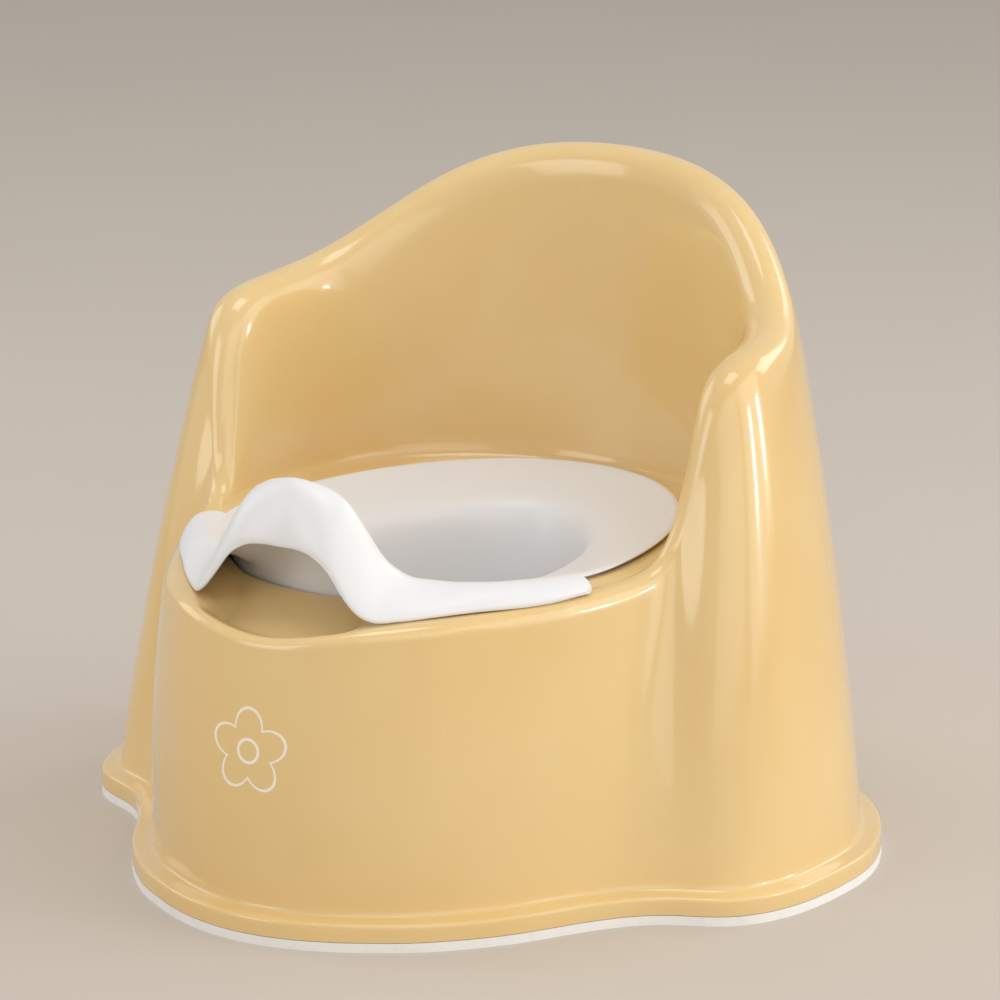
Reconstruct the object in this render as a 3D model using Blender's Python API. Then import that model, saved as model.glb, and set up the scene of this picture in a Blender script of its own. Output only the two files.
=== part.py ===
"""Potty training chair: armchair shell, lift-out inner potty, anti-slip strip.

Metres, +Z up, front of the chair towards -Y, floor at z = 0.
"""
import bpy
import numpy as np

MM = 0.001

# ---- driving dimensions (millimetres) -------------------------------------
WALL = 2.6              # moulded wall of the shell
GAP = 0.3               # clearance left between pieces that touch
STRIP_TOP = 4.2         # anti-slip strip, visible height
STRIP_WIDTH = 9.0
STRIP_TONGUE_TOP = 7.4
TONGUE_IN = 3.5         # tongue clipped inside the flange wall
FLANGE_TOP = 12.5       # foot flange of the shell
LEDGE = 8.5             # step from the flange back to the outer wall
WALL_BULGE = 4.0
DECK_Z = 146.0          # seat deck around the potty
LIP_DROP = 9.0          # collar of the potty hole
RECESS_Z = (130.0, 142.0)       # floor of the finger recess, front edge and hole
# Stations between which its side rises, at the front edge, half way in, at the hole.
RECESS_SIDE = [(0.8, 0.98), (0.95, 1.4), (1.2, 1.9)]
HOLE_CENTRE_Y = -20.0   # widest line of the egg-shaped hole
HOLE_HALF_WIDTH = 95.0
HOLE_FRONT = 89.0
HOLE_BACK = 138.5

# Half outlines from the front centre line to the back centre line.
BASE = [(0, -174.5), (41, -164), (81, -137), (102, -112), (118, -81),
        (140, -52), (169, -45), (186, -18), (190, 16), (190, 53),
        (174, 91), (147, 126), (83, 165), (0, 174)]
CREST = [(0, -160, 128.5), (44, -150, 139), (79, -115, 140), (101, -73, 140.5),
         (117, -30, 142), (123, -10, 149), (128, -4, 194), (131, 6, 234),
         (131, 37, 239), (124, 71, 242), (106, 96, 259), (79, 120, 283),
         (43, 136, 296), (0, 141, 299)]
ROLL = [5, 5, 6, 7, 8, 11, 13, 14, 14, 13, 12, 12, 12, 12]
HOLE_ANGLE = [0, 26, 42, 55, 68, 79, 90, 100, 110, 121, 134, 149, 164, 180]
SEAT_EDGE = [(0, -146, 131), (40, -137, 140), (71, -105, 142.5),
             (92, -68, 143), (105, -36, 144.5), (110, -18, 146),
             (112, -4, 146), (113, 11, 146), (112, 32, 146), (106, 60, 146),
             (92, 86, 146), (68, 109, 146), (36, 126, 146), (0, 131, 146)]
# Stations along those outlines, closer together where the recess's side rises.
STATIONS = [0, 0.4, 0.7, 0.82, 0.9, 0.98, 1.15, 1.5] + list(range(2, 14))


# ---- shared curve helpers --------------------------------------------------
def unit(v):
    return v / np.maximum(np.linalg.norm(v, axis=-1, keepdims=True), 1e-9)


def even_places(count, steps):
    return np.linspace(0, count - 1, (count - 1) * steps + 1)


def spline_weights(count, places, ends):
    """Uniform cubic B-spline weights; ends 'open' or 'mirror'."""
    even = np.zeros((len(places), count))
    odd = np.zeros((len(places), count))
    for r, place in enumerate(places):
        seg = min(int(place), count - 2)
        u = place - seg
        w = np.array([(1 - u) ** 3, 3 * u ** 3 - 6 * u ** 2 + 4,
                      -3 * u ** 3 + 3 * u ** 2 + 3 * u + 1, u ** 3]) / 6
        for k in range(4):
            j = seg - 1 + k
            if 0 <= j < count:
                even[r, j] += w[k]
                odd[r, j] += w[k]
            elif ends == "open":
                a, b = (0, 1) if j < 0 else (count - 1, count - 2)
                for m in (even, odd):
                    m[r, a] += 2 * w[k]
                    m[r, b] -= w[k]
            else:
                j = -j if j < 0 else 2 * (count - 1) - j
                even[r, j] += w[k]
                odd[r, j] -= w[k]
    return even, odd


def smooth_grid(cage, row_steps, col_steps):
    """Half surface (rows x columns x 3) from a control cage, x odd in columns."""
    rows, _ = spline_weights(cage.shape[0], even_places(cage.shape[0], row_steps), "open")
    even, odd = spline_weights(cage.shape[1], even_places(cage.shape[1], col_steps), "mirror")
    s = np.einsum("ab,bnc->anc", rows, cage)
    return np.stack([s[..., 0] @ odd.T, s[..., 1] @ even.T, s[..., 2] @ even.T], -1)


def at_stations(curve):
    """Control points, one per station, whose spline follows a mirrored half outline."""
    c = np.asarray(curve, float)
    even, odd = spline_weights(len(c), STATIONS, "mirror")
    back_even, back_odd = spline_weights(len(STATIONS), range(len(STATIONS)), "mirror")
    return np.c_[np.linalg.solve(back_odd, odd @ c[:, 0]),
                 np.linalg.solve(back_even, even @ c[:, 1:])]


def ramp(v, lo, hi):
    t = np.clip((v - lo) / (hi - lo), 0, 1)
    return t * t * (3 - 2 * t)


def smooth_table(x, table):
    """Smooth curve through (x, value) pairs, constant beyond them."""
    tx, tv = np.array(table, float).T
    slope = np.gradient(tv, tx)
    k = np.clip(np.searchsorted(tx, x, side="right") - 1, 0, len(tx) - 2)
    h = tx[k + 1] - tx[k]
    u = np.clip((x - tx[k]) / h, 0, 1)
    return ((1 + 2 * u) * (1 - u) ** 2 * tv[k] + u * u * (3 - 2 * u) * tv[k + 1]
            + h * u * (1 - u) * ((1 - u) * slope[k] - u * slope[k + 1]))


def plan_normals(curve):
    """Outward plan normals of a half outline mirrored about x = 0."""
    c = np.asarray(curve, float)[:, :2]
    full = np.vstack([c[1] * [-1, 1], c, c[-2] * [-1, 1]])
    t = unit(full[2:] - full[:-2])
    return np.c_[t[:, 1], -t[:, 0], np.zeros(len(c))]


def hole_point(angle, grow=0.0):
    """Egg-shaped potty hole; angle in degrees from the front centre."""
    a = np.radians(angle)
    length = np.where(np.cos(a) > 0, HOLE_FRONT, HOLE_BACK)
    x = HOLE_HALF_WIDTH * np.sin(a)
    y = HOLE_CENTRE_Y - length * np.cos(a)
    n = unit(np.stack([np.sin(a) / HOLE_HALF_WIDTH, -np.cos(a) / length], -1))
    return np.stack([x, y], -1) + np.broadcast_to(grow, a.shape)[..., None] * n


# ---- shell -----------------------------------------------------------------
def at_height(xy, z):
    return np.c_[xy[:, :2], np.full(len(xy), float(z))]


def roll_frame(root, crest, seat, roll):
    """Centre of the crest roll and its five directions, outer wall to inner."""
    full = np.vstack([crest[1] * [-1, 1, 1], crest, crest[-2] * [-1, 1, 1]])
    tangent = unit(full[2:] - full[:-2])
    out_end, in_end = crest, crest
    for _ in range(3):
        n_out = unit(np.cross(tangent, out_end - root))
        n_in = unit(np.cross(in_end - seat, tangent))
        up = unit(n_out + n_in)
        centre = crest - roll[:, None] * up
        out_end = centre + roll[:, None] * n_out
        in_end = centre + roll[:, None] * n_in
    side = np.cross(tangent, up)
    a_out = np.arctan2((n_out * side).sum(1), (n_out * up).sum(1))
    a_in = np.arctan2((n_in * side).sum(1), (n_in * up).sum(1))
    fan = []
    for t in (0.0, 0.25, 0.5, 0.75, 1.0):
        a = (a_out + (a_in - a_out) * t)[:, None]
        fan.append(np.cos(a) * up + np.sin(a) * side)
    return centre, fan


def recess(shift=0.0):
    """1 over the finger recess, 0 beyond its sides, per station, for each line of
    RECESS_SIDE; shift widens it."""
    return [1 - ramp(np.array(STATIONS) - shift, lo, hi) for lo, hi in RECESS_SIDE]


def shell_cages():
    base, crest, seat = at_stations(BASE), at_stations(CREST), at_stations(SEAT_EDGE)
    roll = np.interp(STATIONS, range(len(ROLL)), ROLL)
    angle = np.interp(STATIONS, range(len(HOLE_ANGLE)), HOLE_ANGLE)
    nb = plan_normals(base)
    root = at_height(base - nb[:, :2] * (LEDGE + 1.0), FLANGE_TOP + 3.0)
    centre, fan = roll_frame(root, crest, seat, roll)
    r = roll[:, None] * 1.06
    top = centre + r * fan[0]
    bottom = centre + r * fan[4]
    foot = STRIP_TOP + GAP

    def flange(out, z):
        return at_height(base + nb[:, :2] * out, z)

    def wall(t, inset=0.0):
        return root + (top - root) * t + nb * (WALL_BULGE * 4 * t * (1 - t) - inset)

    def deck(points, level, line, drop=0.0, dips=recess()):
        """Deck points at the given level, or on the recess's sloping floor; line
        is 0 at the front edge, 1 half way in and 2 at the hole."""
        low = (RECESS_Z[0] * (2 - line) + RECESS_Z[1] * line) / 2
        z = level + (np.minimum(level, low) - level) * dips[line] - drop
        return np.c_[points[:, :2], z]

    below = recess(0.06)
    hole, lip = hole_point(angle), hole_point(angle, WALL)
    seat_z = seat[:, 2]
    deck_z = np.full(len(angle), DECK_Z)
    mid, mid_z = (seat[:, :2] + hole) / 2, (seat_z + DECK_Z) / 2
    floor = deck(seat, seat_z, 0)
    outer = [flange(0, foot), flange(0, FLANGE_TOP - 3.0), flange(-0.2, FLANGE_TOP - 0.9),
             flange(-0.9, FLANGE_TOP - 0.2), flange(-2.6, FLANGE_TOP),
             flange(-LEDGE + 2.0, FLANGE_TOP + 0.3), flange(-LEDGE - 0.2, FLANGE_TOP + 0.9),
             root, wall(0.06), wall(0.3), wall(0.65), top,
             centre + r * fan[1], centre + r * fan[2], centre + r * fan[3], bottom,
             bottom + (floor - bottom) * 0.5, bottom + (floor - bottom) * 0.88, floor,
             deck(mid, mid_z, 1),
             deck(hole_point(angle, 2.5), deck_z, 2),
             deck(hole, deck_z, 2, 0.4),
             deck(hole, deck_z, 2, LIP_DROP)]
    ri = (roll - WALL)[:, None] * 1.06
    under = deck(seat + plan_normals(seat) * WALL * 0.6, seat_z, 0, WALL, below)
    inner_end = bottom - fan[4] * WALL
    inside = [flange(-WALL, foot), flange(-WALL, FLANGE_TOP - WALL - 1.0),
              flange(-LEDGE * 0.6, FLANGE_TOP - WALL),
              root - nb * WALL - np.array([0, 0, 1.0]),
              wall(0.3, WALL), wall(0.65, WALL), centre + ri * fan[0],
              centre + ri * fan[1], centre + ri * fan[2], centre + ri * fan[3],
              centre + ri * fan[4],
              inner_end + (under - inner_end) * 0.5, inner_end + (under - inner_end) * 0.85,
              under,
              deck(mid, mid_z, 1, WALL, below),
              deck(lip, deck_z, 2, WALL, below),
              deck(lip, deck_z, 2, LIP_DROP)]
    return np.array(outer), np.array(inside)


# ---- inner potty -----------------------------------------------------------
POTTY_WALL = 2.4
FLOOR_Z = 48.0          # inside floor of the bowl
RIM_Z = 149.0           # crest of the plain rim
REST_Z = DECK_Z + 1.2   # underside of the plain rim
CREASE_IN = 38.0        # width of the shallow ring inside the rim
CREASE_Z = 137.0
COLLAR_IN = 1.5         # play of the bowl in the hole
COLLAR_DROP = 6.0       # how much lower the collar reaches over the recess
GUARD_END = 73.0        # hole angle at which the splash guard stops
# Splash guard by hole angle: how far out and how high its crest lies, and the same
# for the edge of its skirt, which arches over the recess and rests on the deck.
CREST_OUT = [(0, 16), (9, 13.5), (18, 15), (26, 9.5), (33, 5), (45, 3.8), (60, 3), (76, 2.5)]
GUARD_CREST = [(0, 198), (5, 196), (9, 193.5), (13, 188.5), (17, 178.5), (21, 166),
               (26, 157.5), (33, 153.8), (45, 152), (60, 151.2), (76, 150.5)]
SKIRT_OUT = [(0, 28.5), (8, 32), (12, 33.5), (16, 35.5), (19.5, 35.5), (23, 33), (27, 30),
             (33, 26), (40, 22), (50, 19.5), (60, 18), (76, 17)]
SKIRT_EDGE = [(0, 168.5), (4, 169), (8, 167.5), (12, 161.5), (15, 152.5), (18, 145),
              (21, 141.4), (26, 141.1), (34, 142.1), (46, 142.8), (55, 142.7), (61, 143),
              (68, 144), (76, 144.2)]


def potty_cage(angle):
    """Rows from the middle of the floor, over the rim, round to underneath."""
    n = len(angle)
    guard = 1 - ramp(angle, GUARD_END - 1.6, GUARD_END + 1.6)
    crest_z = RIM_Z + guard * (smooth_table(angle, GUARD_CREST) - RIM_Z)
    flank = ramp(angle, 9, 18) * (1 - ramp(angle, 30, 46))
    crest_off = 1.5 + guard * (smooth_table(angle, CREST_OUT) - 1.5)
    edge_off = 3.6 + guard * (smooth_table(angle, SKIRT_OUT) - 3.6)
    edge_z = REST_Z + guard * (smooth_table(angle, SKIRT_EDGE) - REST_Z)
    t = POTTY_WALL
    under_z = np.maximum(crest_z - t, REST_Z)
    shoulder = crest_z + (edge_z - crest_z) * 0.38
    collar_z = DECK_Z - 4 - COLLAR_DROP * (1 - ramp(angle, 34, 44))

    def ring(off, z):
        return np.c_[hole_point(angle, off), np.broadcast_to(z, (n,))]

    def blend(k):
        return crest_off + (edge_off - crest_off) * k

    def tight(k, z):
        mid = np.array([0.0, HOLE_CENTRE_Y + 14.0])
        return np.c_[mid + (hole_point(angle, -CREASE_IN) - mid) * k,
                     np.full(n, float(z))]

    return np.array([
        tight(0.0, FLOOR_Z), tight(0.4, FLOOR_Z), tight(0.72, FLOOR_Z + 0.5),
        tight(0.86, FLOOR_Z + 6), tight(0.91, FLOOR_Z + 30), tight(0.95, FLOOR_Z + 62),
        ring(-CREASE_IN - 2, CREASE_Z - 8), ring(-CREASE_IN + 2, CREASE_Z + 1),
        ring(-22, CREASE_Z + 5.0), ring(-9, CREASE_Z + 8.8),
        ring(crest_off * 0.45 - 4.7, CREASE_Z + 10.4 + (crest_z - RIM_Z) * 0.55),
        ring(crest_off - 3.0 - 3.0 * guard, crest_z - 0.9 - 1.9 * guard),
        ring(crest_off + 1.5 * guard, crest_z + 0.1 + 1.1 * guard),
        ring(blend(0.55 - 0.05 * flank) + (2.5 - 1.7 * flank) * guard,
             shoulder + 0.3 + (2.2 - 1.6 * flank) * guard),
        ring(edge_off + 0.2, edge_z + 1.4 + 1.6 * guard),
        ring(edge_off, edge_z),
        ring(edge_off - t, edge_z),
        ring(blend(0.5) - t, np.maximum(shoulder - 0.6, REST_Z)),
        ring(crest_off - 0.8 + 0.8 * guard, under_z - 0.8 * guard),
        ring(crest_off * 0.35 - COLLAR_IN, np.maximum(under_z - 8, REST_Z)),
        ring(-COLLAR_IN, DECK_Z + 1.0), ring(-COLLAR_IN, collar_z),
        ring(-COLLAR_IN - t, collar_z), ring(-COLLAR_IN - t, DECK_Z - 5.0),
        ring(-COLLAR_IN - 6, CREASE_Z + 6.0 - t), ring(-24, CREASE_Z + 3.5 - t),
        ring(-CREASE_IN, CREASE_Z - t), ring(-CREASE_IN - 1 + t, CREASE_Z - 9),
        tight(0.985, FLOOR_Z + 60), tight(0.945, FLOOR_Z + 28), tight(0.89, FLOOR_Z + 3),
        tight(0.74, FLOOR_Z - t), tight(0.4, FLOOR_Z - t),
        tight(0.0, FLOOR_Z - t)])


def potty_angles(guard_steps, back_steps):
    """Hole angles of the half columns, closer together at the skirt's end."""
    guard = np.linspace(0, GUARD_END - 4, guard_steps + 1)[:-1]
    end = GUARD_END + np.array([-4.0, -2.2, -0.9, 0.4, 1.7, 4.0])
    back = np.linspace(GUARD_END + 17, 180, back_steps + 1)
    return np.concatenate([guard, end, back])


# ---- anti-slip strip -------------------------------------------------------
def strip_ring(steps):
    """Closed section swept round the foot, bottom flat on the floor."""
    base = at_stations(BASE)
    nb = plan_normals(base)[:, :2]
    section = [(0.0, 0.0), (0.0, STRIP_TOP), (-TONGUE_IN, STRIP_TOP),
               (-TONGUE_IN, STRIP_TONGUE_TOP), (-5.2, STRIP_TONGUE_TOP),
               (-STRIP_WIDTH, STRIP_TOP - 1), (-STRIP_WIDTH, 0.0)]
    even, odd = spline_weights(len(base), even_places(len(base), steps), "mirror")
    rows = []
    for off, z in section:
        ring = base + nb * off
        x, y = odd @ ring[:, 0], even @ ring[:, 1]
        rows.append(np.c_[x, y, np.full(len(x), z)])
    return np.array(rows)


# ---- blender ---------------------------------------------------------------
def clear_scene():
    for obj in list(bpy.data.objects):
        bpy.data.objects.remove(obj, do_unlink=True)


def material(name, colour, rough):
    mat = bpy.data.materials.new(name)
    mat.use_nodes = True
    shader = mat.node_tree.nodes["Principled BSDF"]
    shader.inputs["Base Color"].default_value = (*colour, 1.0)
    shader.inputs["Roughness"].default_value = rough
    shader.inputs["Metallic"].default_value = 0.0
    return mat


def lofted(name, rings, mat, home, closed_section):
    """Half rings (rows x columns) mirrored to whole rings and skinned."""
    whole = np.concatenate([rings, rings[:, -2:0:-1] * [-1, 1, 1]], axis=1)
    rows, cols = whole.shape[:2]
    whole[:, 0, 0] = 0.0
    whole[:, rings.shape[1] - 1, 0] = 0.0
    verts, index = [], np.zeros((rows, cols), int)
    for r in range(rows):
        pole = not closed_section and r in (0, rows - 1)
        if pole:
            verts.append(whole[r].mean(axis=0) * MM)
            index[r] = len(verts) - 1
        else:
            for c in range(cols):
                verts.append(whole[r, c] * MM)
                index[r, c] = len(verts) - 1
    faces = []
    last = rows if closed_section else rows - 1
    for r in range(last):
        up = (r + 1) % rows
        for c in range(cols):
            d = (c + 1) % cols
            loop = [index[r, c], index[r, d], index[up, d], index[up, c]]
            face = []
            for v in loop:
                if int(v) not in face:
                    face.append(int(v))
            faces.append(face)
    mesh = bpy.data.meshes.new(name)
    mesh.from_pydata([tuple(v) for v in verts], [], faces)
    mesh.update()
    obj = bpy.data.objects.new(name, mesh)
    home.objects.link(obj)
    mesh.materials.append(mat)
    return obj


def finish_mesh(obj, angle=40):
    """Outward faces and smooth shading split at the moulded edges."""
    mesh = obj.data
    volume = 0.0
    mesh.calc_loop_triangles()
    for tri in mesh.loop_triangles:
        a, b, c = (mesh.vertices[i].co for i in tri.vertices)
        volume += a.dot(b.cross(c))
    if volume < 0:
        mesh.flip_normals()
    mesh.shade_smooth()
    mesh.set_sharp_from_angle(angle=np.radians(angle))


def build():
    clear_scene()
    home = bpy.data.collections.new("potty_training_chair")
    bpy.context.scene.collection.children.link(home)
    yellow = material("yellow_gloss", (0.78, 0.54, 0.26), 0.18)
    white = material("white_satin", (0.85, 0.83, 0.81), 0.32)
    rubber = material("white_rubber", (0.72, 0.68, 0.63), 0.6)

    outer, inside = shell_cages()
    skin = np.concatenate([smooth_grid(outer, 2, 2), smooth_grid(inside, 1, 2)[::-1]])
    finish_mesh(lofted("shell", skin, yellow, home, True))

    potty = smooth_grid(potty_cage(potty_angles(22, 12)), 1, 1)
    finish_mesh(lofted("inner_potty", potty, white, home, False))

    finish_mesh(lofted("anti_slip_strip", strip_ring(2), rubber, home, True), 30)


build()
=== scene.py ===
"""Looks of the potty training chair: fine meshes, plastics, light and camera.

Outlines are in millimetres until a mesh is made; everything else is in metres.
Front of the chair towards -Y, +Z up, floor at z = 0.
"""
import math

import bpy
import numpy as np
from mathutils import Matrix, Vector


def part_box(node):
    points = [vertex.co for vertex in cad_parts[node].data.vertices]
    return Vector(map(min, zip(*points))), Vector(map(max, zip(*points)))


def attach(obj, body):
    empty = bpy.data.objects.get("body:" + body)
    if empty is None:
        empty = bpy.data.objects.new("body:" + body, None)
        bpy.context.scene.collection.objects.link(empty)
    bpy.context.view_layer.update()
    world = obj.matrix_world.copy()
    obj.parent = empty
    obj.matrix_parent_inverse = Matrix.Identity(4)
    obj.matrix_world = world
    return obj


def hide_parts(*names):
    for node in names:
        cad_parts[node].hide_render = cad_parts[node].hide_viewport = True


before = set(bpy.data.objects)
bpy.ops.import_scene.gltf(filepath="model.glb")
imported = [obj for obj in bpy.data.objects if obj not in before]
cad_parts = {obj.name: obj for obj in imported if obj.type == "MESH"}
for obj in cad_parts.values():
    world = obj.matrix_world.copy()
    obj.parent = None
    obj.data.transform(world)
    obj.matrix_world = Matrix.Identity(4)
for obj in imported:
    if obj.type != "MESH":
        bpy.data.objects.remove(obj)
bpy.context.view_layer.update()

MM = 0.001

# ---- driving dimensions (millimetres) -------------------------------------
WALL = 2.6              # moulded wall of the shell
GAP = 0.3               # clearance left between pieces that touch
STRIP_TOP = 4.2         # anti-slip strip, visible height
STRIP_WIDTH = 9.0
STRIP_TONGUE_TOP = 7.4
TONGUE_IN = 3.5         # tongue clipped inside the flange wall
FLANGE_TOP = 12.5       # foot flange of the shell
LEDGE = 8.5             # step from the flange back to the outer wall
WALL_BULGE = 4.0        # how far the outer wall swells half way up
DECK_Z = 146.0          # seat deck around the potty
LIP_DROP = 9.0          # collar of the potty hole
RECESS_Z = (130.0, 142.0)       # floor of the finger recess, front edge and hole
# Stations between which its side rises, at the front edge, half way in, at the hole.
RECESS_SIDE = [(0.8, 0.98), (0.95, 1.4), (1.2, 1.9)]
RECESS_UNDERSIDE = 0.06         # stations by which the underside of the deck is wider
HOLE_CENTRE_Y = -20.0   # widest line of the egg-shaped hole
HOLE_HALF_WIDTH = 95.0
HOLE_FRONT = 89.0
HOLE_BACK = 138.5

# Half outlines from the front centre line to the back centre line.
BASE = [(0, -174.5), (41, -164), (81, -137), (102, -112), (118, -81),
        (140, -52), (169, -45), (186, -18), (190, 16), (190, 53),
        (174, 91), (147, 126), (83, 165), (0, 174)]
CREST = [(0, -160, 128.5), (44, -150, 139), (79, -115, 140), (101, -73, 140.5),
         (117, -30, 142), (123, -10, 149), (128, -4, 194), (131, 6, 234),
         (131, 37, 239), (124, 71, 242), (106, 96, 259), (79, 120, 283),
         (43, 136, 296), (0, 141, 299)]
ROLL = [5, 5, 6, 7, 8, 11, 13, 14, 14, 13, 12, 12, 12, 12]
ROLL_SWELL = 1.06       # control points lie this much outside the roll they make
HOLE_ANGLE = [0, 26, 42, 55, 68, 79, 90, 100, 110, 121, 134, 149, 164, 180]
SEAT_EDGE = [(0, -146, 131), (40, -137, 140), (71, -105, 142.5),
             (92, -68, 143), (105, -36, 144.5), (110, -18, 146),
             (112, -4, 146), (113, 11, 146), (112, 32, 146), (106, 60, 146),
             (92, 86, 146), (68, 109, 146), (36, 126, 146), (0, 131, 146)]
# Stations along those outlines, closer together where the recess's side rises.
STATIONS = [0, 0.4, 0.7, 0.82, 0.9, 0.98, 1.15, 1.5] + list(range(2, 14))


# ---- shared curve helpers --------------------------------------------------
def unit(v):
    return v / np.maximum(np.linalg.norm(v, axis=-1, keepdims=True), 1e-9)


def even_places(count, steps):
    return np.linspace(0, count - 1, (count - 1) * steps + 1)


def spline_weights(count, places, ends):
    """Uniform cubic B-spline weights; ends 'open' or 'mirror'."""
    even = np.zeros((len(places), count))
    odd = np.zeros((len(places), count))
    for r, place in enumerate(places):
        seg = min(int(place), count - 2)
        u = place - seg
        w = np.array([(1 - u) ** 3, 3 * u ** 3 - 6 * u ** 2 + 4,
                      -3 * u ** 3 + 3 * u ** 2 + 3 * u + 1, u ** 3]) / 6
        for k in range(4):
            j = seg - 1 + k
            if 0 <= j < count:
                even[r, j] += w[k]
                odd[r, j] += w[k]
            elif ends == "open":
                a, b = (0, 1) if j < 0 else (count - 1, count - 2)
                for m in (even, odd):
                    m[r, a] += 2 * w[k]
                    m[r, b] -= w[k]
            else:
                j = -j if j < 0 else 2 * (count - 1) - j
                even[r, j] += w[k]
                odd[r, j] -= w[k]
    return even, odd


def smooth_grid(cage, row_steps, col_steps):
    """Half surface (rows x columns x 3) from a control cage, x odd in columns."""
    rows, _ = spline_weights(cage.shape[0], even_places(cage.shape[0], row_steps), "open")
    even, odd = spline_weights(cage.shape[1], even_places(cage.shape[1], col_steps), "mirror")
    s = np.einsum("ab,bnc->anc", rows, cage)
    return np.stack([s[..., 0] @ odd.T, s[..., 1] @ even.T, s[..., 2] @ even.T], -1)


def at_stations(curve):
    """Control points, one per station, whose spline follows a mirrored half outline."""
    c = np.asarray(curve, float)
    even, odd = spline_weights(len(c), STATIONS, "mirror")
    back_even, back_odd = spline_weights(len(STATIONS), range(len(STATIONS)), "mirror")
    return np.c_[np.linalg.solve(back_odd, odd @ c[:, 0]),
                 np.linalg.solve(back_even, even @ c[:, 1:])]


def ramp(v, lo, hi):
    t = np.clip((v - lo) / (hi - lo), 0, 1)
    return t * t * (3 - 2 * t)


def smooth_table(x, table):
    """Smooth curve through (x, value) pairs, constant beyond them."""
    tx, tv = np.array(table, float).T
    slope = np.gradient(tv, tx)
    k = np.clip(np.searchsorted(tx, x, side="right") - 1, 0, len(tx) - 2)
    h = tx[k + 1] - tx[k]
    u = np.clip((x - tx[k]) / h, 0, 1)
    return ((1 + 2 * u) * (1 - u) ** 2 * tv[k] + u * u * (3 - 2 * u) * tv[k + 1]
            + h * u * (1 - u) * ((1 - u) * slope[k] - u * slope[k + 1]))


def plan_normals(curve):
    """Outward plan normals of a half outline mirrored about x = 0."""
    c = np.asarray(curve, float)[:, :2]
    full = np.vstack([c[1] * [-1, 1], c, c[-2] * [-1, 1]])
    t = unit(full[2:] - full[:-2])
    return np.c_[t[:, 1], -t[:, 0], np.zeros(len(c))]


def hole_point(angle, grow=0.0):
    """Egg-shaped potty hole; angle in degrees from the front centre."""
    a = np.radians(angle)
    length = np.where(np.cos(a) > 0, HOLE_FRONT, HOLE_BACK)
    x = HOLE_HALF_WIDTH * np.sin(a)
    y = HOLE_CENTRE_Y - length * np.cos(a)
    n = unit(np.stack([np.sin(a) / HOLE_HALF_WIDTH, -np.cos(a) / length], -1))
    return np.stack([x, y], -1) + np.broadcast_to(grow, a.shape)[..., None] * n


# ---- shell -----------------------------------------------------------------
def at_height(xy, z):
    return np.c_[xy[:, :2], np.full(len(xy), float(z))]


def roll_frame(root, crest, seat, roll):
    """Centre of the crest roll and its five directions, outer wall to inner."""
    full = np.vstack([crest[1] * [-1, 1, 1], crest, crest[-2] * [-1, 1, 1]])
    tangent = unit(full[2:] - full[:-2])
    out_end, in_end = crest, crest
    for _ in range(3):
        n_out = unit(np.cross(tangent, out_end - root))
        n_in = unit(np.cross(in_end - seat, tangent))
        up = unit(n_out + n_in)
        centre = crest - roll[:, None] * up
        out_end = centre + roll[:, None] * n_out
        in_end = centre + roll[:, None] * n_in
    side = np.cross(tangent, up)
    a_out = np.arctan2((n_out * side).sum(1), (n_out * up).sum(1))
    a_in = np.arctan2((n_in * side).sum(1), (n_in * up).sum(1))
    fan = []
    for t in (0.0, 0.25, 0.5, 0.75, 1.0):
        a = (a_out + (a_in - a_out) * t)[:, None]
        fan.append(np.cos(a) * up + np.sin(a) * side)
    return centre, fan


def recess(shift=0.0):
    """1 over the finger recess, 0 beyond its sides, per station, for each line of
    RECESS_SIDE; shift widens it."""
    return [1 - ramp(np.array(STATIONS) - shift, lo, hi) for lo, hi in RECESS_SIDE]


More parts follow.
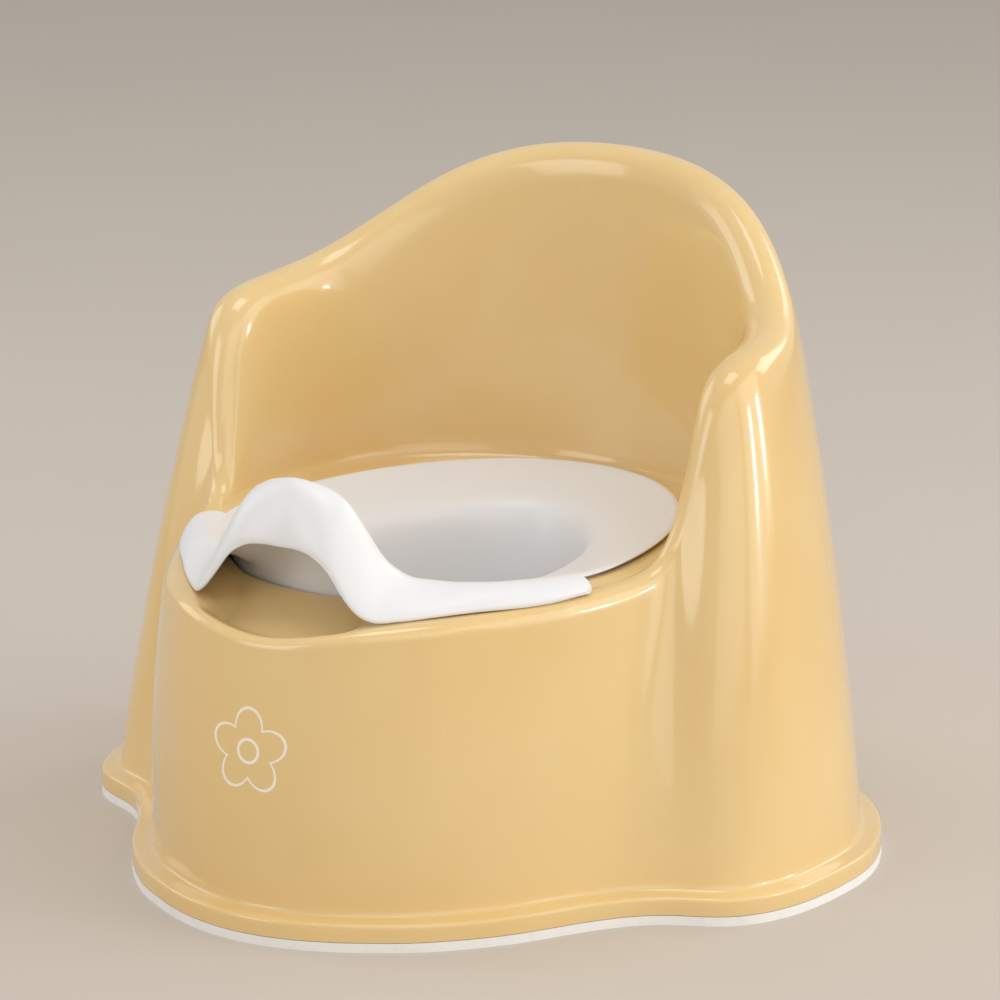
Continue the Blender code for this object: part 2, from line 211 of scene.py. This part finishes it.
def shell_cages():
    base, crest, seat = at_stations(BASE), at_stations(CREST), at_stations(SEAT_EDGE)
    roll = np.interp(STATIONS, range(len(ROLL)), ROLL)
    angle = np.interp(STATIONS, range(len(HOLE_ANGLE)), HOLE_ANGLE)
    nb = plan_normals(base)
    root = at_height(base - nb[:, :2] * (LEDGE + 1.0), FLANGE_TOP + 3.0)
    centre, fan = roll_frame(root, crest, seat, roll)
    r = roll[:, None] * ROLL_SWELL
    top = centre + r * fan[0]
    bottom = centre + r * fan[4]
    foot = STRIP_TOP + GAP

    def flange(out, z):
        return at_height(base + nb[:, :2] * out, z)

    def wall(t, inset=0.0):
        return root + (top - root) * t + nb * (WALL_BULGE * 4 * t * (1 - t) - inset)

    def deck(points, level, line, drop=0.0, dips=recess()):
        """Deck points at the given level, or on the recess's sloping floor; line
        is 0 at the front edge, 1 half way in and 2 at the hole."""
        low = (RECESS_Z[0] * (2 - line) + RECESS_Z[1] * line) / 2
        z = level + (np.minimum(level, low) - level) * dips[line] - drop
        return np.c_[points[:, :2], z]

    below = recess(RECESS_UNDERSIDE)
    hole, lip = hole_point(angle), hole_point(angle, WALL)
    seat_z = seat[:, 2]
    deck_z = np.full(len(angle), DECK_Z)
    mid, mid_z = (seat[:, :2] + hole) / 2, (seat_z + DECK_Z) / 2
    floor = deck(seat, seat_z, 0)
    outer = [flange(0, foot), flange(0, FLANGE_TOP - 3.0), flange(-0.2, FLANGE_TOP - 0.9),
             flange(-0.9, FLANGE_TOP - 0.2), flange(-2.6, FLANGE_TOP),
             flange(-LEDGE + 2.0, FLANGE_TOP + 0.3), flange(-LEDGE - 0.2, FLANGE_TOP + 0.9),
             root, wall(0.06), wall(0.3), wall(0.65), top,
             centre + r * fan[1], centre + r * fan[2], centre + r * fan[3], bottom,
             bottom + (floor - bottom) * 0.5, bottom + (floor - bottom) * 0.88, floor,
             deck(mid, mid_z, 1),
             deck(hole_point(angle, 2.5), deck_z, 2),
             deck(hole, deck_z, 2, 0.4),
             deck(hole, deck_z, 2, LIP_DROP)]
    ri = (roll - WALL)[:, None] * ROLL_SWELL
    under = deck(seat + plan_normals(seat) * WALL * 0.6, seat_z, 0, WALL, below)
    inner_end = bottom - fan[4] * WALL
    inside = [flange(-WALL, foot), flange(-WALL, FLANGE_TOP - WALL - 1.0),
              flange(-LEDGE * 0.6, FLANGE_TOP - WALL),
              root - nb * WALL - np.array([0, 0, 1.0]),
              wall(0.3, WALL), wall(0.65, WALL), centre + ri * fan[0],
              centre + ri * fan[1], centre + ri * fan[2], centre + ri * fan[3],
              centre + ri * fan[4],
              inner_end + (under - inner_end) * 0.5, inner_end + (under - inner_end) * 0.85,
              under,
              deck(mid, mid_z, 1, WALL, below),
              deck(lip, deck_z, 2, WALL, below),
              deck(lip, deck_z, 2, LIP_DROP)]
    return np.array(outer), np.array(inside)


# ---- inner potty -----------------------------------------------------------
POTTY_WALL = 2.4
FLOOR_Z = 48.0          # inside floor of the bowl
RIM_Z = 149.0           # crest of the plain rim
REST_Z = DECK_Z + 1.2   # underside of the plain rim
CREASE_IN = 38.0        # width of the shallow ring inside the rim
CREASE_Z = 137.0
COLLAR_IN = 1.5         # play of the bowl in the hole
COLLAR_DROP = 6.0       # how much lower the collar reaches over the recess
GUARD_END = 73.0        # hole angle at which the splash guard stops
GUARD_FADE = 1.6        # degrees on either side in which it does so
THIN_FROM = (9, 18)     # angles over which its upper side grows thinner, then full again
THIN_TO = (30, 46)
COLLAR_END = (34, 44)   # angles over which the collar rises at the recess's side
# Splash guard by hole angle: how far out and how high its crest lies, and the same
# for the edge of its skirt, which arches over the recess and rests on the deck.
CREST_OUT = [(0, 16), (9, 13.5), (18, 15), (26, 9.5), (33, 5), (45, 3.8), (60, 3), (76, 2.5)]
GUARD_CREST = [(0, 198), (5, 196), (9, 193.5), (13, 188.5), (17, 178.5), (21, 166),
               (26, 157.5), (33, 153.8), (45, 152), (60, 151.2), (76, 150.5)]
SKIRT_OUT = [(0, 28.5), (8, 32), (12, 33.5), (16, 35.5), (19.5, 35.5), (23, 33), (27, 30),
             (33, 26), (40, 22), (50, 19.5), (60, 18), (76, 17)]
SKIRT_EDGE = [(0, 168.5), (4, 169), (8, 167.5), (12, 161.5), (15, 152.5), (18, 145),
              (21, 141.4), (26, 141.1), (34, 142.1), (46, 142.8), (55, 142.7), (61, 143),
              (68, 144), (76, 144.2)]


def potty_cage(angle):
    """Rows from the middle of the floor, over the rim, round to underneath."""
    n = len(angle)
    guard = 1 - ramp(angle, GUARD_END - GUARD_FADE, GUARD_END + GUARD_FADE)
    crest_z = RIM_Z + guard * (smooth_table(angle, GUARD_CREST) - RIM_Z)
    flank = ramp(angle, *THIN_FROM) * (1 - ramp(angle, *THIN_TO))
    crest_off = 1.5 + guard * (smooth_table(angle, CREST_OUT) - 1.5)
    edge_off = 3.6 + guard * (smooth_table(angle, SKIRT_OUT) - 3.6)
    edge_z = REST_Z + guard * (smooth_table(angle, SKIRT_EDGE) - REST_Z)
    t = POTTY_WALL
    under_z = np.maximum(crest_z - t, REST_Z)
    shoulder = crest_z + (edge_z - crest_z) * 0.38
    collar_z = DECK_Z - 4 - COLLAR_DROP * (1 - ramp(angle, *COLLAR_END))

    def ring(off, z):
        return np.c_[hole_point(angle, off), np.broadcast_to(z, (n,))]

    def blend(k):
        return crest_off + (edge_off - crest_off) * k

    def tight(k, z):
        mid = np.array([0.0, HOLE_CENTRE_Y + 14.0])
        return np.c_[mid + (hole_point(angle, -CREASE_IN) - mid) * k,
                     np.full(n, float(z))]

    return np.array([
        tight(0.0, FLOOR_Z), tight(0.4, FLOOR_Z), tight(0.72, FLOOR_Z + 0.5),
        tight(0.86, FLOOR_Z + 6), tight(0.91, FLOOR_Z + 30), tight(0.95, FLOOR_Z + 62),
        ring(-CREASE_IN - 2, CREASE_Z - 8), ring(-CREASE_IN + 2, CREASE_Z + 1),
        ring(-22, CREASE_Z + 5.0), ring(-9, CREASE_Z + 8.8),
        ring(crest_off * 0.45 - 4.7, CREASE_Z + 10.4 + (crest_z - RIM_Z) * 0.55),
        ring(crest_off - 3.0 - 3.0 * guard, crest_z - 0.9 - 1.9 * guard),
        ring(crest_off + 1.5 * guard, crest_z + 0.1 + 1.1 * guard),
        ring(blend(0.55 - 0.05 * flank) + (2.5 - 1.7 * flank) * guard,
             shoulder + 0.3 + (2.2 - 1.6 * flank) * guard),
        ring(edge_off + 0.2, edge_z + 1.4 + 1.6 * guard),
        ring(edge_off, edge_z),
        ring(edge_off - t, edge_z),
        ring(blend(0.5) - t, np.maximum(shoulder - 0.6, REST_Z)),
        ring(crest_off - 0.8 + 0.8 * guard, under_z - 0.8 * guard),
        ring(crest_off * 0.35 - COLLAR_IN, np.maximum(under_z - 8, REST_Z)),
        ring(-COLLAR_IN, DECK_Z + 1.0), ring(-COLLAR_IN, collar_z),
        ring(-COLLAR_IN - t, collar_z), ring(-COLLAR_IN - t, DECK_Z - 5.0),
        ring(-COLLAR_IN - 6, CREASE_Z + 6.0 - t), ring(-24, CREASE_Z + 3.5 - t),
        ring(-CREASE_IN, CREASE_Z - t), ring(-CREASE_IN - 1 + t, CREASE_Z - 9),
        tight(0.985, FLOOR_Z + 60), tight(0.945, FLOOR_Z + 28), tight(0.89, FLOOR_Z + 3),
        tight(0.74, FLOOR_Z - t), tight(0.4, FLOOR_Z - t),
        tight(0.0, FLOOR_Z - t)])


# ---- anti-slip strip -------------------------------------------------------
def strip_ring(steps):
    """Closed section swept round the foot, bottom flat on the floor."""
    base = at_stations(BASE)
    nb = plan_normals(base)[:, :2]
    section = [(0.0, 0.0), (0.0, STRIP_TOP), (-TONGUE_IN, STRIP_TOP),
               (-TONGUE_IN, STRIP_TONGUE_TOP), (-5.2, STRIP_TONGUE_TOP),
               (-STRIP_WIDTH, STRIP_TOP - 1), (-STRIP_WIDTH, 0.0)]
    even, odd = spline_weights(len(base), even_places(len(base), steps), "mirror")
    rows = []
    for off, z in section:
        ring = base + nb * off
        x, y = odd @ ring[:, 0], even @ ring[:, 1]
        rows.append(np.c_[x, y, np.full(len(x), z)])
    return np.array(rows)


# ---- meshes ----------------------------------------------------------------
FINE = 6                # surface steps between control points of the shell
LINING_FINE = 3         # the same up the inside of its walls
POTTY_FINE = 5          # the same up the inner potty
# Angles and column counts of the inner potty, closest together where its guard ends.
POTTY_BAND = (66, 77)
POTTY_COLUMNS = (89, 45, 121)
# Control rows that wear first: crest and flange of the shell, rim and skirt of the potty.
SHELL_WORN = (13, 3.5)
POTTY_WORN = (12, 15)
SHARP_ANGLE = 40        # degrees between faces that are shaded as a moulded edge
STRIP_SHARP_ANGLE = 30


def lofted(name, rings, mask, closed_section, box):
    """Half rings (rows x columns) mirrored to whole rings and skinned, kept inside the CAD box."""
    whole = np.concatenate([rings, rings[:, -2:0:-1] * [-1, 1, 1]], axis=1) * MM
    shade = np.concatenate([mask, mask[:, -2:0:-1]], axis=1)
    whole = np.clip(whole, box[0], box[1])
    rows, cols = whole.shape[:2]
    whole[:, 0, 0] = 0.0
    whole[:, rings.shape[1] - 1, 0] = 0.0
    verts, values, index = [], [], np.zeros((rows, cols), int)
    for r in range(rows):
        if not closed_section and r in (0, rows - 1):
            verts.append(whole[r].mean(axis=0))
            values.append(shade[r].mean())
            index[r] = len(verts) - 1
        else:
            index[r] = range(len(verts), len(verts) + cols)
            verts.extend(whole[r])
            values.extend(shade[r])
    faces = []
    for r in range(rows if closed_section else rows - 1):
        up = (r + 1) % rows
        for c in range(cols):
            d = (c + 1) % cols
            loop = [index[r, c], index[r, d], index[up, d], index[up, c]]
            faces.append(list(dict.fromkeys(int(v) for v in loop)))
    mesh = bpy.data.meshes.new(name)
    mesh.from_pydata([tuple(v) for v in verts], [], faces)
    mesh.update()
    wear = mesh.attributes.new("wear", "FLOAT", "POINT")
    wear.data.foreach_set("value", np.array(values, np.float32))
    obj = bpy.data.objects.new(name, mesh)
    bpy.context.scene.collection.objects.link(obj)
    return obj


def finish_mesh(obj, mat, angle=SHARP_ANGLE):
    """Outward faces and smooth shading split at the moulded edges."""
    mesh = obj.data
    volume = 0.0
    mesh.calc_loop_triangles()
    for tri in mesh.loop_triangles:
        a, b, c = (mesh.vertices[i].co for i in tri.vertices)
        volume += a.dot(b.cross(c))
    if volume < 0:
        mesh.flip_normals()
    mesh.shade_smooth()
    mesh.set_sharp_from_angle(angle=np.radians(angle))
    mesh.materials.append(mat)
    return obj


def near_rows(rows, cols, centres, width):
    """Wear mask: 1 along the given rows, fading over width rows."""
    r = np.arange(rows)[:, None]
    mask = sum(np.exp(-((r - c) / width) ** 2) for c in centres)
    return np.broadcast_to(np.clip(mask, 0, 1), (rows, cols))


def shell_piece(mat):
    outer, inside = shell_cages()
    skin = smooth_grid(outer, FINE, FINE)
    lining = smooth_grid(inside, LINING_FINE, FINE)[::-1]
    mask = near_rows(*skin.shape[:2], [row * FINE for row in SHELL_WORN], 1.2 * FINE)
    mask = np.concatenate([mask, np.zeros(lining.shape[:2])])
    obj = lofted("shell_skin", np.concatenate([skin, lining]), mask, True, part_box("shell"))
    return finish_mesh(obj, mat)


def potty_piece(mat):
    edges = (0, *POTTY_BAND, 180)
    front, end, back = (np.linspace(*span) for span in zip(edges, edges[1:], POTTY_COLUMNS))
    angle = np.concatenate([front, end[1:-1], back])
    rings = smooth_grid(potty_cage(angle), POTTY_FINE, 1)
    mask = near_rows(*rings.shape[:2], [row * POTTY_FINE for row in POTTY_WORN], POTTY_FINE)
    return finish_mesh(lofted("potty_skin", rings, mask, False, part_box("inner_potty")), mat)


def strip_piece(mat):
    ring = strip_ring(2 * FINE)
    mask = np.ones(ring.shape[:2])
    obj = lofted("strip_skin", ring, mask, True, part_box("anti_slip_strip"))
    return finish_mesh(obj, mat, STRIP_SHARP_ANGLE)


# ---- materials -------------------------------------------------------------
YELLOW_DEEP = (0.77, 0.53, 0.22)
YELLOW_LIGHT = (0.81, 0.59, 0.27)
YELLOW_SCUFFED = (0.88, 0.74, 0.52)
WHITE_DEEP = (0.79, 0.795, 0.81)
WHITE_LIGHT = (0.82, 0.825, 0.84)
WHITE_SCUFFED = (0.72, 0.71, 0.70)
RUBBER_DEEP = (0.84, 0.83, 0.81)
RUBBER_LIGHT = (0.88, 0.87, 0.85)
RUBBER_SOILED = (0.66, 0.61, 0.55)
PRINT_CREAM = (0.93, 0.88, 0.78)
PETALS = 5
PRINT_Z = 0.084         # middle of the printed flower, its radius and its line, in metres
PRINT_RADIUS = 0.019
PRINT_LINE = 0.0013
PRINT_BEFORE_Y = -0.1   # only the front wall is printed
FLOOR_DARK = (0.56, 0.505, 0.45)
FLOOR_PALE = (0.60, 0.545, 0.49)


def nodes_of(mat):
    mat.use_nodes = True
    tree = mat.node_tree
    return tree, tree.nodes["Principled BSDF"]


def noise(tree, coord, scale, detail=3.0, rough=0.5):
    n = tree.nodes.new("ShaderNodeTexNoise")
    n.inputs["Scale"].default_value = scale
    n.inputs["Detail"].default_value = detail
    n.inputs["Roughness"].default_value = rough
    tree.links.new(coord, n.inputs["Vector"])
    return n.outputs["Fac"]


def remap(tree, value, lo, hi, to_lo, to_hi):
    n = tree.nodes.new("ShaderNodeMapRange")
    for name, v in (("From Min", lo), ("From Max", hi), ("To Min", to_lo), ("To Max", to_hi)):
        n.inputs[name].default_value = v
    tree.links.new(value, n.inputs["Value"])
    return n.outputs["Result"]


def maths(tree, kind, a, b=0.0):
    n = tree.nodes.new("ShaderNodeMath")
    n.operation = kind
    for socket, v in zip(n.inputs, (a, b)):
        if isinstance(v, (int, float)):
            socket.default_value = v
        else:
            tree.links.new(v, socket)
    return n.outputs["Value"]


# Sockets of a Mix node that mixes colours.
MIX_FACTOR, MIX_A, MIX_B, MIX_RESULT = 0, 6, 7, 2


def mix_colour(tree, fac, a, b):
    n = tree.nodes.new("ShaderNodeMix")
    n.data_type = "RGBA"
    tree.links.new(fac, n.inputs[MIX_FACTOR])
    for socket, v in ((n.inputs[MIX_A], a), (n.inputs[MIX_B], b)):
        if isinstance(v, tuple):
            socket.default_value = (*v, 1.0)
        else:
            tree.links.new(v, socket)
    return n.outputs[MIX_RESULT]


def bump(tree, height, strength, distance, below=None):
    n = tree.nodes.new("ShaderNodeBump")
    n.inputs["Strength"].default_value = strength
    n.inputs["Distance"].default_value = distance
    tree.links.new(height, n.inputs["Height"])
    if below is not None:
        tree.links.new(below, n.inputs["Normal"])
    return n.outputs["Normal"]


def stretched(tree, coord, turn, stretch):
    """Coordinates turned about all axes and squeezed along one, for directional marks."""
    n = tree.nodes.new("ShaderNodeMapping")
    n.inputs["Rotation"].default_value = turn
    n.inputs["Scale"].default_value = stretch
    tree.links.new(coord, n.inputs["Vector"])
    return n.outputs["Vector"]


def hairlines(tree, coord, turn):
    """Sparse fine scratches: 1 on a line, 0 beside it."""
    field = noise(tree, stretched(tree, coord, turn, (1.0, 7.0, 1.0)), 26.0, 1.0)
    off = maths(tree, "ABSOLUTE", maths(tree, "SUBTRACT", field, 0.5))
    line = remap(tree, off, 0.0, 0.0022, 1.0, 0.0)
    sparse = remap(tree, noise(tree, coord, 31.0, 1.0), 0.56, 0.66, 0.0, 1.0)
    return maths(tree, "MULTIPLY", line, sparse)


def worn_edges(tree, coord, gain):
    """Broken scuffing along the edges marked by the mesh's wear attribute."""
    worn = tree.nodes.new("ShaderNodeAttribute")
    worn.attribute_name = "wear"
    patches = remap(tree, noise(tree, coord, 130.0, 8.0, 0.8), 0.52, 0.7, 0.0, 1.0)
    return maths(tree, "MULTIPLY", maths(tree, "MULTIPLY", worn.outputs["Fac"], patches), gain)


def plastic(name, deep, light, scuffed, rough, peel, wear):
    """Injection-moulded plastic: mottled pigment, smudged gloss, orange peel, hairline
    scratches and worn edges. rough is (least, most), peel (height in metres, strength)."""
    mat = bpy.data.materials.new(name)
    tree, shader = nodes_of(mat)
    coord = tree.nodes.new("ShaderNodeTexCoord").outputs["Object"]

    flow = remap(tree, noise(tree, coord, 7.0, 3.0), 0.35, 0.65, 0.0, 1.0)
    scuff = worn_edges(tree, coord, wear)
    lines = maths(tree, "MAXIMUM", hairlines(tree, coord, (0.4, 0.2, 0.7)),
                  hairlines(tree, coord, (1.2, 0.9, 2.1)))
    marks = maths(tree, "MAXIMUM", scuff, maths(tree, "MULTIPLY", lines, 0.15))
    pigment = mix_colour(tree, flow, deep, light)
    tree.links.new(mix_colour(tree, marks, pigment, scuffed), shader.inputs["Base Color"])

    smudge = remap(tree, noise(tree, coord, 20.0, 6.0, 0.62), 0.3, 0.7, *rough)
    gloss = maths(tree, "ADD", smudge, maths(tree, "MULTIPLY", marks, 0.3))
    tree.links.new(gloss, shader.inputs["Roughness"])

    height, strength = peel
    skin = bump(tree, noise(tree, coord, 420.0, 3.0), strength, height)
    sink = bump(tree, noise(tree, coord, 28.0, 1.0), 0.05, 0.001, skin)
    cut = bump(tree, maths(tree, "SUBTRACT", 1.0, lines), 0.25, 0.00005, sink)
    tree.links.new(cut, shader.inputs["Normal"])
    shader.inputs["IOR"].default_value = 1.49
    return mat


def printed_flower(tree, coord, centre_z, radius, line):
    """1 on the line of a plain five-petalled flower printed on the front of the shell.

    line is how thick the line is, in metres like the rest."""
    notch, eye = 0.62 * radius, 0.27 * radius
    split = tree.nodes.new("ShaderNodeSeparateXYZ")
    tree.links.new(coord, split.inputs["Vector"])
    x, y = split.outputs["X"], split.outputs["Y"]
    z = maths(tree, "SUBTRACT", split.outputs["Z"], centre_z)
    square = maths(tree, "ADD", maths(tree, "MULTIPLY", x, x), maths(tree, "MULTIPLY", z, z))
    reach = maths(tree, "SQRT", square)
    turn = maths(tree, "MULTIPLY", maths(tree, "ARCTAN2", x, z), PETALS / 2)
    lobe = maths(tree, "ABSOLUTE", maths(tree, "COSINE", turn))
    petal = maths(tree, "ADD", maths(tree, "MULTIPLY", lobe, radius - notch), notch)
    to_petal = maths(tree, "ABSOLUTE", maths(tree, "SUBTRACT", reach, petal))
    to_eye = maths(tree, "ABSOLUTE", maths(tree, "SUBTRACT", reach, eye))
    ink = remap(tree, maths(tree, "MINIMUM", to_petal, to_eye), line * 0.4, line * 0.6, 1.0, 0.0)
    return maths(tree, "MULTIPLY", ink, maths(tree, "LESS_THAN", y, PRINT_BEFORE_Y))


def yellow_plastic():
    mat = plastic("yellow_gloss_plastic", YELLOW_DEEP, YELLOW_LIGHT, YELLOW_SCUFFED,
                  (0.13, 0.22), (0.0002, 0.045), 0.3)
    tree, shader = nodes_of(mat)
    coord = tree.nodes.new("ShaderNodeTexCoord").outputs["Object"]
    ink = printed_flower(tree, coord, PRINT_Z, PRINT_RADIUS, PRINT_LINE)
    plain = shader.inputs["Base Color"].links[0].from_socket
    tree.links.new(mix_colour(tree, ink, plain, PRINT_CREAM), shader.inputs["Base Color"])
    shader.inputs["Coat Weight"].default_value = 0.6
    shader.inputs["Coat Roughness"].default_value = 0.07
    return mat


def white_plastic():
    return plastic("white_satin_plastic", WHITE_DEEP, WHITE_LIGHT, WHITE_SCUFFED,
                   (0.28, 0.38), (0.0002, 0.08), 0.25)


def white_rubber():
    return plastic("white_soft_rubber", RUBBER_DEEP, RUBBER_LIGHT, RUBBER_SOILED,
                   (0.5, 0.66), (0.0003, 0.35), 0.3)


# ---- stage, light and camera -----------------------------------------------
VIEW_AZIMUTH = math.radians(32.57)      # camera, from the front towards +X
VIEW_ELEVATION = math.radians(15.09)
VIEW_DISTANCE = 2.51
VIEW_TARGET = (0.0216, 0.0046, 0.1608)
LIGHT_SPREAD = math.radians(115)        # keeps the panels' light off the floor beside them
LIGHT_TARGET = (0.0, 0.0, 0.15)
LIGHT_COLOUR = (1.0, 0.985, 0.96)
FLOOR_HALF = 14.0


def floor_material():
    mat = bpy.data.materials.new("pale_floor")
    tree, shader = nodes_of(mat)
    coord = tree.nodes.new("ShaderNodeTexCoord").outputs["Object"]
    tone = mix_colour(tree, noise(tree, coord, 3.0, 6.0), FLOOR_DARK, FLOOR_PALE)
    tree.links.new(tone, shader.inputs["Base Color"])
    shader.inputs["Roughness"].default_value = 0.8
    shader.inputs["Specular IOR Level"].default_value = 0.15
    return mat


def floor_plane():
    """Plain pale floor, wide enough to fill the view behind the chair."""
    corners = ((-1, -1), (1, -1), (1, 1), (-1, 1))
    verts = [(x * FLOOR_HALF, y * FLOOR_HALF, 0.0) for x, y in corners]
    mesh = bpy.data.meshes.new("floor")
    mesh.from_pydata(verts, [], [(0, 1, 2, 3)])
    mesh.materials.append(floor_material())
    floor = bpy.data.objects.new("floor", mesh)
    bpy.context.scene.collection.objects.link(floor)


def aim(obj, target):
    obj.rotation_euler = (Vector(target) - obj.location).to_track_quat("-Z", "Y").to_euler()


def area_light(name, place, size, power):
    data = bpy.data.lights.new(name, "AREA")
    data.shape = "RECTANGLE"
    data.size, data.size_y = size
    data.energy = power
    data.spread = LIGHT_SPREAD
    data.color = LIGHT_COLOUR
    lamp = bpy.data.objects.new(name, data)
    lamp.location = place
    aim(lamp, LIGHT_TARGET)
    bpy.context.scene.collection.objects.link(lamp)


def lights():
    """Soft panels round the chair: (name, place, size, power in watts)."""
    panels = [("bright_wall", (2.1, 0.6, 1.2), (2.2, 2.2), 9.0),
              ("window_near", (1.9, 0.36, 0.5), (0.18, 0.3), 1.0),
              ("window_far", (1.6, 1.02, 0.42), (0.18, 0.3), 0.9),
              ("right_front", (1.75, -1.5, 1.2), (2.2, 1.8), 4.7),
              ("left_front", (-1.0, -2.2, 0.85), (1.2, 1.2), 3.8),
              ("left", (-2.3, -0.3, 1.2), (1.4, 1.4), 3.5),
              ("back", (1.0, 2.3, 1.5), (1.2, 1.2), 4.2),
              ("top", (0.0, -0.2, 2.7), (1.2, 1.2), 5.0)]
    for name, place, size, power in panels:
        area_light(name, place, size, power)
    world = bpy.data.worlds.new("room")
    world.use_nodes = True
    back = world.node_tree.nodes["Background"]
    back.inputs["Color"].default_value = (1.0, 0.98, 0.955, 1.0)
    back.inputs["Strength"].default_value = 0.58
    bpy.context.scene.world = world


def camera():
    data = bpy.data.cameras.new("camera")
    data.lens = 201.6
    data.sensor_width = 36.0
    cam = bpy.data.objects.new("camera", data)
    level = math.cos(VIEW_ELEVATION)
    back = Vector((math.sin(VIEW_AZIMUTH) * level, -math.cos(VIEW_AZIMUTH) * level,
                   math.sin(VIEW_ELEVATION)))
    cam.location = Vector(VIEW_TARGET) + back * VIEW_DISTANCE
    aim(cam, VIEW_TARGET)
    data.clip_start, data.clip_end = 0.05, 50.0
    bpy.context.scene.collection.objects.link(cam)
    bpy.context.scene.camera = cam


# ---- scene -----------------------------------------------------------------
shell = shell_piece(yellow_plastic())
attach(shell, "shell")
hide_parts("shell")

potty = potty_piece(white_plastic())
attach(potty, "potty")
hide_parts("inner_potty")

strip = strip_piece(white_rubber())
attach(strip, "shell")
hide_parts("anti_slip_strip")

floor_plane()
lights()
camera()
bpy.context.scene.view_settings.view_transform = "Standard"
